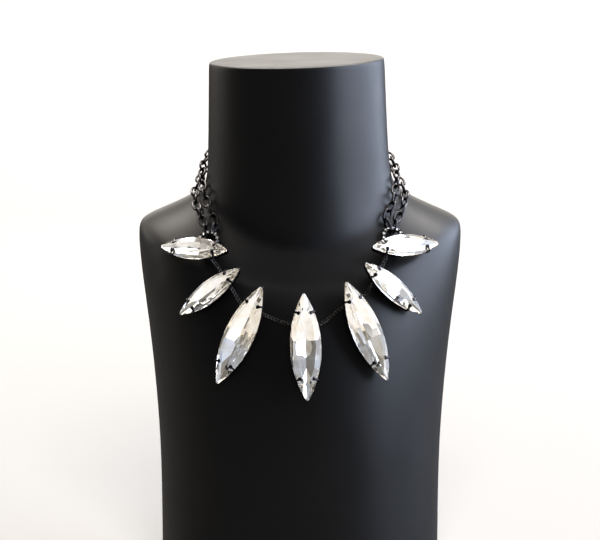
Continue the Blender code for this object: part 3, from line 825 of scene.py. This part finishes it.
def small_stone(looks):
    """A round stone: a table, eight crown facets and eight on its back."""
    deselect()
    radius = looks.stone_width / 2
    bpy.ops.mesh.primitive_cone_add(vertices=SMALL_FACETS, radius1=radius, radius2=radius * SMALL_TABLE,
                                    depth=SMALL_CROWN, location=(0, 0, SMALL_CROWN / 2))
    stone = taken("small_stone")
    only(stone)
    bpy.ops.object.transform_apply(location=True, rotation=True, scale=True)
    choose(stone, faces_back)
    edit(stone)
    bpy.ops.mesh.extrude_region_move()
    bpy.ops.transform.translate(value=(0, 0, -SMALL_EDGE))
    bpy.ops.mesh.extrude_region_move()
    bpy.ops.transform.resize(value=(SMALL_FOOT, SMALL_FOOT, 1))
    bpy.ops.transform.translate(value=(0, 0, -SMALL_BACK))
    leave_edit()
    face_outwards(stone)
    return foil_back(stone)


def ring_band(looks):
    """A flat torus squared to the band, with a channel round its face for the small stones."""
    middle, half = (looks.width - looks.band) / 2, looks.band / 2
    band = torus("ring_band", (middle, half), BAND_STEPS)
    for vert in band.data.vertices:
        out = Vector((vert.co.x, vert.co.y, 0))
        share, up = (out.length - middle) / half, vert.co.z / half
        share, up = powered(share, BAND_SQUARING), powered(up, BAND_SQUARING)
        if up > CHANNEL_ABOVE and abs(share) < CHANNEL_SHARE:
            up -= CHANNEL_DEPTH
        vert.co = out.normalized() * (middle + share * half) + Vector((0, 0, up * looks.thickness / 2))
    face_outwards(band)
    shade_by_angle(band, BAND_SHARP_DEG)
    return dress(band, "gunmetal")


class NECKLACE_OT_rings(bpy.types.Operator):
    """Sets small stones between beads round both bands"""
    bl_idname = "necklace.rings"
    bl_label = "Rings of small stones"

    def execute(self, context):
        looks = context.scene.ring_looks
        band, stone = ring_band(looks), small_stone(looks)
        deselect()
        bpy.ops.mesh.primitive_ico_sphere_add(subdivisions=BEAD_ROUNDING, radius=looks.bead / 2)
        bead = taken("bead")
        bpy.ops.object.shade_smooth()
        dress(bead, "gunmetal")
        middle = (looks.width - looks.band) / 2
        face = looks.thickness / 2
        for side in ("left", "right"):
            seat = ring_seat("pave_ring_" + side, looks)
            metal, gems = [copied(band, "band", seat)], []
            for i in range(looks.stones):
                turn = 2 * math.pi * (i + 0.5) / looks.stones
                spin = Matrix.Rotation(turn, 4, "Z")
                inset = Matrix.Translation((middle, 0, face - STONE_SINK))
                gems.append(copied(stone, "gem", seat @ spin @ inset))
                between = Matrix.Rotation(math.pi / looks.stones, 4, "Z")
                for reach in (-1, 1):
                    place = Matrix.Translation((middle + reach * looks.band * BEAD_REACH, 0, face))
                    metal.append(copied(bead, "bead", seat @ spin @ between @ place))
            ring = joined("ring_band_" + side, metal)
            hand_over(ring, "pave", "pave_ring_" + side)
            hand_over(joined("ring_stones_" + side, gems), "crystal", "pave_ring_" + side)
        discard(band, stone, bead)
        return {"FINISHED"}


# Chains

# Steps round a link and round its wire
LINK_STEPS = (28, 12)
CURB_STEPS = (16, 7)
CURB_SQUARENESS = 2.2
# Radius of the torus that a link is bent from, in radii of its wire
LINK_START = 4


def smooth_route(points):
    """Points and directions off the bust along one smooth curve through the given ones."""
    padded = [(2 * points[0][0] - points[1][0], points[0][1])] + points
    padded.append((2 * points[-1][0] - points[-2][0], points[-1][1]))
    made = []
    for i in range(1, len(padded) - 2):
        a, b, c, d = (padded[i + k][0] for k in (-1, 0, 1, 2))
        for s in range(STEPS_BETWEEN_POINTS):
            t = s / STEPS_BETWEEN_POINTS
            place = ((2 * b) + (c - a) * t + (2 * a - 5 * b + 4 * c - d) * t ** 2
                     + (3 * b - a - 3 * c + d) * t ** 3) / 2
            made.append((place, padded[i][1].lerp(padded[i + 1][1], t)))
    made.append(points[-1])
    return made


def length_of(route):
    return sum((b - a).length for (a, _), (b, _) in zip(route, route[1:]))


def walk(route, stride, count):
    """Places a straight stride apart along a route, as many as fit up to a count."""
    places = [route[0]]
    for (a, _), (b, normal) in zip(route, route[1:]):
        while len(places) < count and (b - places[-1][0]).length >= stride:
            near, far = (a - places[-1][0]).length, (b - places[-1][0]).length
            share = (stride - near) / (far - near)
            places.append((a.lerp(b, share), normal))
    return places


def spaced(route, count):
    """Places along a route, each the same straight stride from the next, and that stride."""
    low, high = 0.8 * length_of(route) / (count - 1), length_of(route) / (count - 1)
    for _ in range(HALVINGS):
        stride = (low + high) / 2
        if len(walk(route, stride, count)) < count:
            high = stride
        else:
            low = stride
    return walk(route, low, count), low


def bent_link(name, length, width, wire, squareness, steps, twist=0):
    """A torus drawn out into an oval link and twisted from end to end."""
    start = LINK_START * wire / 2
    link = torus(name, (start, wire / 2), steps)
    half_length, half_width, bulge = (length - wire) / 2, (width - wire) / 2, 2 / squareness
    for vert in link.data.vertices:
        flat = Vector((vert.co.x, vert.co.y, 0))
        c, s = flat.x / flat.length, flat.y / flat.length
        centre = Vector((powered(c, bulge) * half_length, powered(s, bulge) * half_width, 0))
        out = Vector((powered(c, 2 - bulge) / half_length, powered(s, 2 - bulge) / half_width, 0))
        spot = centre + out.normalized() * (flat.length - start) + Vector((0, 0, vert.co.z))
        vert.co = Matrix.Rotation(twist * centre.x / half_length, 3, "X") @ spot
    bpy.ops.object.shade_smooth()
    return dress(link, "gunmetal")


class Skin:
    """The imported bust's skin, which the chains are laid on."""

    def __init__(self):
        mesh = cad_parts["neck_bust"].data
        points = [v.co for v in mesh.vertices]
        self.tree = BVHTree.FromPolygons(points, [face.vertices for face in mesh.polygons])
        top = max(p.z for p in points) - NORMAL_SPREAD
        rim = [p.y for p in points if p.z > top]
        self.axis = Vector((0, (min(rim) + max(rim)) / 2, 0))

    def met(self, starts, way):
        """The point that the first ray meets, and the mean normal where all of them do."""
        hits = [self.tree.ray_cast(start, way) for start in starts]
        normals = [hit[1] for hit in hits if hit[0] is not None]
        return hits[0][0], sum(normals, Vector()).normalized()

    def front(self, x, z):
        """The point and normal met from straight in front."""
        spread = ((0, 0), (1, 0), (-1, 0), (0, 1), (0, -1))
        starts = [Vector((x + a * NORMAL_SPREAD, -AFAR, z + b * NORMAL_SPREAD)) for a, b in spread]
        return self.met(starts, Vector((0, 1, 0)))

    def round_neck(self, turn_deg, z):
        """The point and normal met from outside, towards the neck's own axis."""
        turn = math.radians(turn_deg)
        out = Vector((math.sin(turn), math.cos(turn), 0))
        side = Vector((out.y, -out.x, 0)) * NORMAL_SPREAD
        up = Vector((0, 0, NORMAL_SPREAD))
        start = self.axis + out * AFAR + Vector((0, 0, z))
        return self.met([start, start + side, start - side, start + up, start - up], -out)

    def lift_needed(self, point, normal, clear):
        """How far a point must move along the normal to stand clear of the skin."""
        hit = self.tree.ray_cast(point + normal * AFAR, -normal)[0]
        return (hit - point).dot(normal) + clear


def chain_end(seat, hole_radius, turn_deg, skin, looks):
    """Both ends of the link through a loop, the far one easing down towards the skin."""
    turn = math.radians(turn_deg)
    way = seat.col[0].xyz * math.cos(turn) + seat.col[1].xyz * math.sin(turn)
    normal = seat.col[2].xyz
    near = seat.translation + way * (hole_radius - looks.play)
    far = near + way * looks.link_pitch
    lift = skin.lift_needed(far, normal, looks.link_width / 2 + GAP)
    return [(near, normal), (far + normal * lift / 2, normal)]


def clasp_seat(skin, looks):
    """The clasp's own frame: X along its barrel, Z off the neck."""
    point, normal = skin.round_neck(0, CLASP_HEIGHT)
    return axes_to_matrix(point + normal * (looks.link_width / 2 + GAP), Vector((1, 0, 0)), normal)


def loop_seat(seat, side, looks):
    """The frame of the clasp's loop on one side, its X axis away from the barrel."""
    reach = looks.clasp_length / 2 + looks.loop_width / 2 - looks.loop_wire
    turned = seat @ Matrix.Rotation(0 if side > 0 else math.pi, 4, "Z")
    turned = turned @ Matrix.Rotation(math.radians(CLASP_BEND_DEG), 4, "Y")
    turned.translation = seat @ Vector((side * reach, 0, 0))
    return turned


class NECKLACE_OT_neck_chains(bpy.types.Operator):
    """Threads an oval link's copies along the four neck chains"""
    bl_idname = "necklace.neck_chains"
    bl_label = "Neck chains"

    def execute(self, context):
        looks, rings = context.scene.chain_looks, context.scene.ring_looks
        skin = Skin()
        clasp = clasp_seat(skin, looks)
        ring_hole = rings.width / 2 - rings.band
        loop_hole = looks.loop_width / 2 - looks.loop_wire
        for side, name in SIDES:
            ring, loop = ring_seat("pave_ring_" + name, rings), loop_seat(clasp, side, looks)
            for strand, way in (("outer", 1), ("inner", -1)):
                route = chain_end(ring, ring_hole, -side * RING_TURNS_DEG[strand], skin, looks)
                for turn, rise in NECK_ROUTES[strand]:
                    point, normal = skin.round_neck(side * turn, NECK_FOOT_HEIGHT + rise * NECK_WIDTH)
                    route.append((point + normal * (looks.link_width / 2 + GAP), normal))
                route += chain_end(loop, loop_hole, way * side * CLASP_LINK_DEG, skin, looks)[::-1]
                node = "chain_%s_%s" % (name, strand)
                hand_over(cable("links_of_" + node, smooth_route(route), looks), "gunmetal", node)
        return {"FINISHED"}


def threaded(name, model, meetings, rolls):
    """Copies of a link from meeting place to meeting place, each with its own roll."""
    links = []
    for (start, off), (end, _), roll in zip(meetings, meetings[1:], rolls):
        seat = axes_to_matrix(start.lerp(end, 0.5), end - start, off)
        links.append(copied(model, "link", seat @ Matrix.Rotation(roll, 4, "X")))
    discard(model)
    return joined(name, links)


def cable(name, route, looks):
    """Oval links along a route, each a quarter turn on from the last."""
    count = round(length_of(route) / looks.link_pitch)
    meetings, stride = spaced(route, count + 1)
    model = bent_link("link", stride + 2 * looks.wire - looks.bite, looks.link_width, looks.wire,
                      looks.squareness, LINK_STEPS)
    quarter = 0 if count % 2 else math.pi / 2
    rolls = []
    for i in range(count):
        share = i / (count - 1)
        roll = math.pi / 2 * (i + 1) + quarter * share
        rolls.append(roll + math.radians(looks.twist_deg) * math.sin(math.pi * share))
    return threaded(name, model, meetings, rolls)


class NECKLACE_OT_fine_chain(bpy.types.Operator):
    """Threads a curb link's copies over the chest from ring to ring"""
    bl_idname = "necklace.fine_chain"
    bl_label = "Fine curb chain"

    def execute(self, context):
        looks, rings = context.scene.chain_looks, context.scene.ring_looks
        skin = Skin()
        ends = []
        for side, name in SIDES:
            seat = ring_seat("pave_ring_" + name, rings)
            turn = math.radians(-side * RING_TURNS_DEG["fine"])
            out = Vector((math.cos(turn), math.sin(turn), 0)) * (rings.width / 2 + GAP + looks.fine_width / 2)
            ends.append((seat @ out, seat.col[2].xyz))
        rows = [ends[0]]
        half = NECK_WIDTH / 2
        for across, drop in FINE_ROUTE:
            point, normal = skin.front(across * half, COLLAR_HEIGHT - drop * half)
            rows.append((point + normal * (looks.fine_width / 2 + looks.fine_rest), normal))
        route = smooth_route(rows + [ends[1]])
        meetings, stride = spaced(route, round(length_of(route) / looks.fine_pitch) + 1)
        model = bent_link("curb_link", stride + 2 * looks.fine_wire, looks.fine_width,
                          looks.fine_wire, CURB_SQUARENESS, CURB_STEPS, math.radians(looks.curb_deg))
        chain = threaded("curb_chain", model, meetings, [0] * len(meetings))
        # The curb chain takes the lighter plating colour, a painted highlight
        hand_over(dress(chain, "rubbed_gunmetal"), "gunmetal", "fine_chain")
        return {"FINISHED"}


# Clasp

# The barrel's profile from one end to its middle: shares of its length from there,
# and of its radius. The other half is its mirror
HALF_BARREL = (
    (-0.5, 0.3), (-0.5, 0.62), (-0.47, 0.78), (-0.42, 0.86), (-0.36, 0.9), (-0.34, 1.0), (-0.3, 1.0),
    (-0.28, 0.92), (-0.04, 0.92), (-0.03, 0.84),
)
BARREL_STEPS = 32
BARREL_SHARP_DEG = 40
LOOP_STEPS = (40, 14)


class NECKLACE_OT_clasp(bpy.types.Operator):
    """Turns the clasp's barrel and gives it a loop at each end"""
    bl_idname = "necklace.clasp"
    bl_label = "Barrel clasp"

    def execute(self, context):
        looks = context.scene.chain_looks
        seat = clasp_seat(Skin(), looks)
        turns = [2 * math.pi * i / BARREL_STEPS for i in range(BARREL_STEPS)]
        half = looks.clasp_width / 2
        profile = [*HALF_BARREL, *((-x, r) for x, r in reversed(HALF_BARREL))]
        barrel = drawn("barrel", [
            [seat @ Vector((x * looks.clasp_length, math.cos(a) * r * half, math.sin(a) * r * half))
             for a in turns]
            for x, r in profile])
        shade_by_angle(barrel, BARREL_SHARP_DEG)
        parts = [barrel]
        for side in (-1, 1):
            loop = torus("loop", ((looks.loop_width - looks.loop_wire) / 2, looks.loop_wire / 2), LOOP_STEPS)
            bpy.ops.object.shade_smooth()
            loop.data.transform(loop_seat(seat, side, looks))
            parts.append(loop)
        clasp = dress(joined("barrel_clasp", parts), "gunmetal")
        hand_over(clasp, "gunmetal", "clasp")
        return {"FINISHED"}


# Stage

# Lengths in mm, but the camera's reach in metres
CAMERA_AIM = (0, 15.63, 168)
CAMERA_DISTANCE = 1500
CAMERA_ELEVATION_DEG = 7
CAMERA_LENS = 160.7
FILM_WIDTH = 36
CAMERA_REACH = 100

# The paper in metres: the side of its flat part, how far forward that lies, how high
# it climbs behind, the radius and steps of its curve, and its drop under the foot
PAPER_SIDE = 8
PAPER_FORWARD = 1
PAPER_CLIMB = 4
PAPER_CURVE = 1
PAPER_CURVE_STEPS = 16
UNDER_FOOT = 0.3 * MM

# Soft boxes: name, place and what they face in metres, their sides in metres, the
# brightness of their cloth, its tint, and what they light
SOFTBOXES = (
    ("overhead", (0, 0.75, 1.95), (0, 0.1, 0.1), (3.0, 1.7), 1.8, "warm", "all"),
    ("window_right", (1.65, 0.35, 0.95), (0, 0.35, 0.95), (3.4, 1.8), 5.2, "cool", "all"),
    ("panel_left", (-1.4, 1.0, 0.85), (0, 0.1, 0.5), (1.3, 1.3), 1.0, "warm", "all"),
    ("backdrop_wash", (0, 1.6, 3.0), (0, 3.4, 0.4), (4.0, 1.0), 28, "warm", "all"),
    ("floor_key", (0.15, -1.7, 1.1), (0, 0.2, 0), (0.7, 0.7), 54, "warm", "paper"),
    ("jewel_card_top", (0, -0.7, 1.6), (0, 0, 0.14), (2.6, 2.4), 0.36, "cool", "stones"),
    ("jewel_card_right", (0.95, -1.2, 0.35), (0, 0, 0.14), (1.1, 1.2), 0.66, "cool", "stones"),
    ("jewel_card_left", (-0.95, -1.2, 0.35), (0, 0, 0.14), (1.1, 1.2), 0.33, "warm", "stones"),
    ("jewel_card_side", (-1.5, -0.3, 0.5), (0, 0, 0.14), (1.9, 1.5), 0.16, "warm", "stones"),
    ("jewel_card_front", (0, -1.95, 0.4), (0, 0, 0.14), (3.4, 1.9), 0.3, "warm", "stones"),
    ("jewel_card_low", (0, -0.65, 0.02), (0, -0.65, 1), (2.4, 1.1), 0.24, "warm", "stones"),
    ("jewel_card_back", (0, 1.3, 1.2), (0, 0, 0.14), (3.4, 1.7), 0.32, "cool", "stones"),
)
# The kinds of ray that don't meet a soft box
UNSEEN_BY = {"all": (), "stones": ("diffuse", "glossy"), "paper": ("glossy", "transmission")}

# Light turns back and forth this often between the facets of a stone
STONE_BOUNCES = 16


def studio_air(looks):
    """The room: dim, brighter below and overhead, and pale low down behind."""
    world = bpy.data.worlds.new("studio_air")
    world.use_nodes = True
    tree = world.node_tree
    way = add_node(tree, "ShaderNodeTexCoord").outputs["Generated"]
    axes = add_node(tree, "ShaderNodeSeparateXYZ", Vector=way)
    behind = stretched(tree, axes.outputs["Y"], 0.86, 1.0, 0, 3.6)
    raised = stretched(tree, axes.outputs["Z"], 0.03, 0.14, 0, 1)
    below = stretched(tree, axes.outputs["Z"], 0.05, -0.3, 0.01, 0.22)
    ceiling = stretched(tree, axes.outputs["Z"], 0.45, 0.9, 0, 0.3)
    pale = add_node(tree, "ShaderNodeMath", {"operation": "MULTIPLY_ADD"}, i0=behind, i1=raised, i2=below)
    total = add_node(tree, "ShaderNodeMath", {"operation": "ADD"}, i0=pale.outputs[0], i1=ceiling)
    background = tree.nodes["Background"]
    tree.links.new(total.outputs[0], background.inputs["Strength"])
    background.inputs["Color"].default_value = (*looks.warm, 1)
    return world


def paper_sweep():
    """A broad sheet that curves up behind. The black shell doesn't mirror it."""
    deselect()
    bpy.ops.mesh.primitive_plane_add(size=PAPER_SIDE, location=(0, -PAPER_FORWARD, -UNDER_FOOT))
    sweep = taken("paper_sweep")
    bpy.ops.object.transform_apply(location=True, rotation=True, scale=True)
    verts = sweep.data.vertices
    far = max(v.co.y for v in verts)
    choose(sweep, lambda edge: all(verts[i].co.y > far - MM for i in edge.vertices), "edges")
    edit(sweep)
    bpy.ops.mesh.extrude_edges_move(TRANSFORM_OT_translate={"value": (0, 0, PAPER_CLIMB)})
    leave_edit()
    verts = sweep.data.vertices
    choose(sweep, lambda edge: all(abs(verts[i].co.y - far) < MM and verts[i].co.z < MM
                                   for i in edge.vertices), "edges")
    edit(sweep)
    bpy.ops.mesh.bevel(offset=PAPER_CURVE, segments=PAPER_CURVE_STEPS)
    leave_edit()
    bpy.ops.object.shade_smooth()
    dress(sweep, "paper")
    sweep.visible_glossy = False


def aimed(name, data, place, way):
    """Adds a lamp or camera that looks one way."""
    thing = bpy.data.objects.new(name, data)
    thing.location = place
    thing.rotation_euler = way.to_track_quat("-Z", "Y").to_euler()
    bpy.context.scene.collection.objects.link(thing)
    return thing


class NECKLACE_OT_stage(bpy.types.Operator):
    """Lays the paper sweep, hangs the soft boxes and sets up the camera"""
    bl_idname = "necklace.stage"
    bl_label = "Studio"

    def execute(self, context):
        looks = context.scene.stage_looks
        paper_sweep()
        for name, place, target, sides, brightness, tint, lights in SOFTBOXES:
            light = bpy.data.lights.new(name, "AREA")
            light.shape = "RECTANGLE"
            light.size, light.size_y = sides
            light.energy = brightness * math.pi * sides[0] * sides[1]
            light.color = getattr(looks, tint)
            lamp = aimed(name, light, place, Vector(target) - Vector(place))
            lamp.visible_camera = False
            for ray in UNSEEN_BY[lights]:
                setattr(lamp, "visible_" + ray, False)
        context.scene.world = studio_air(looks)
        camera = bpy.data.cameras.new("camera")
        camera.lens = CAMERA_LENS
        camera.sensor_width = FILM_WIDTH
        camera.clip_end = CAMERA_REACH
        lean = math.radians(CAMERA_ELEVATION_DEG)
        back = Vector((0, -math.cos(lean), math.sin(lean)))
        place = (Vector(CAMERA_AIM) + back * CAMERA_DISTANCE) * MM
        context.scene.camera = aimed("camera", camera, place, -back)
        context.scene.view_settings.view_transform = "Standard"
        for kind in ("max", "glossy", "transmission"):
            setattr(context.scene.cycles, kind + "_bounces", STONE_BOUNCES)
        return {"FINISHED"}


OPERATORS = (
    NECKLACE_OT_bust,
    NECKLACE_OT_stones,
    NECKLACE_OT_settings,
    NECKLACE_OT_rings,
    NECKLACE_OT_neck_chains,
    NECKLACE_OT_fine_chain,
    NECKLACE_OT_clasp,
    NECKLACE_OT_stage,
)


class NECKLACE_PT_panel(bpy.types.Panel):
    """Lists the pieces and their sizes and colours"""
    bl_idname = "NECKLACE_PT_panel"
    bl_label = "Bib necklace"
    bl_space_type = "VIEW_3D"
    bl_region_type = "UI"
    bl_category = "Necklace"

    def draw(self, context):
        for operator in OPERATORS:
            self.layout.operator(operator.bl_idname)
        for name, looks in LOOKS.items():
            box = self.layout.box()
            for key in looks.__annotations__:
                box.prop(getattr(context.scene, name), key)


def register():
    for name, looks in LOOKS.items():
        bpy.utils.register_class(looks)
        setattr(bpy.types.Scene, name, bpy.props.PointerProperty(type=looks))
    for operator in OPERATORS:
        bpy.utils.register_class(operator)
    bpy.utils.register_class(NECKLACE_PT_panel)


def unregister():
    bpy.utils.unregister_class(NECKLACE_PT_panel)
    for operator in reversed(OPERATORS):
        bpy.utils.unregister_class(operator)
    for name, looks in LOOKS.items():
        delattr(bpy.types.Scene, name)
        bpy.utils.unregister_class(looks)


def main():
    register()
    bpy.ops.necklace.bust()
    bpy.ops.necklace.stones()
    bpy.ops.necklace.settings()
    bpy.ops.necklace.rings()
    bpy.ops.necklace.neck_chains()
    bpy.ops.necklace.fine_chain()
    bpy.ops.necklace.clasp()
    bpy.ops.necklace.stage()


if __name__ == "__main__":
    main()
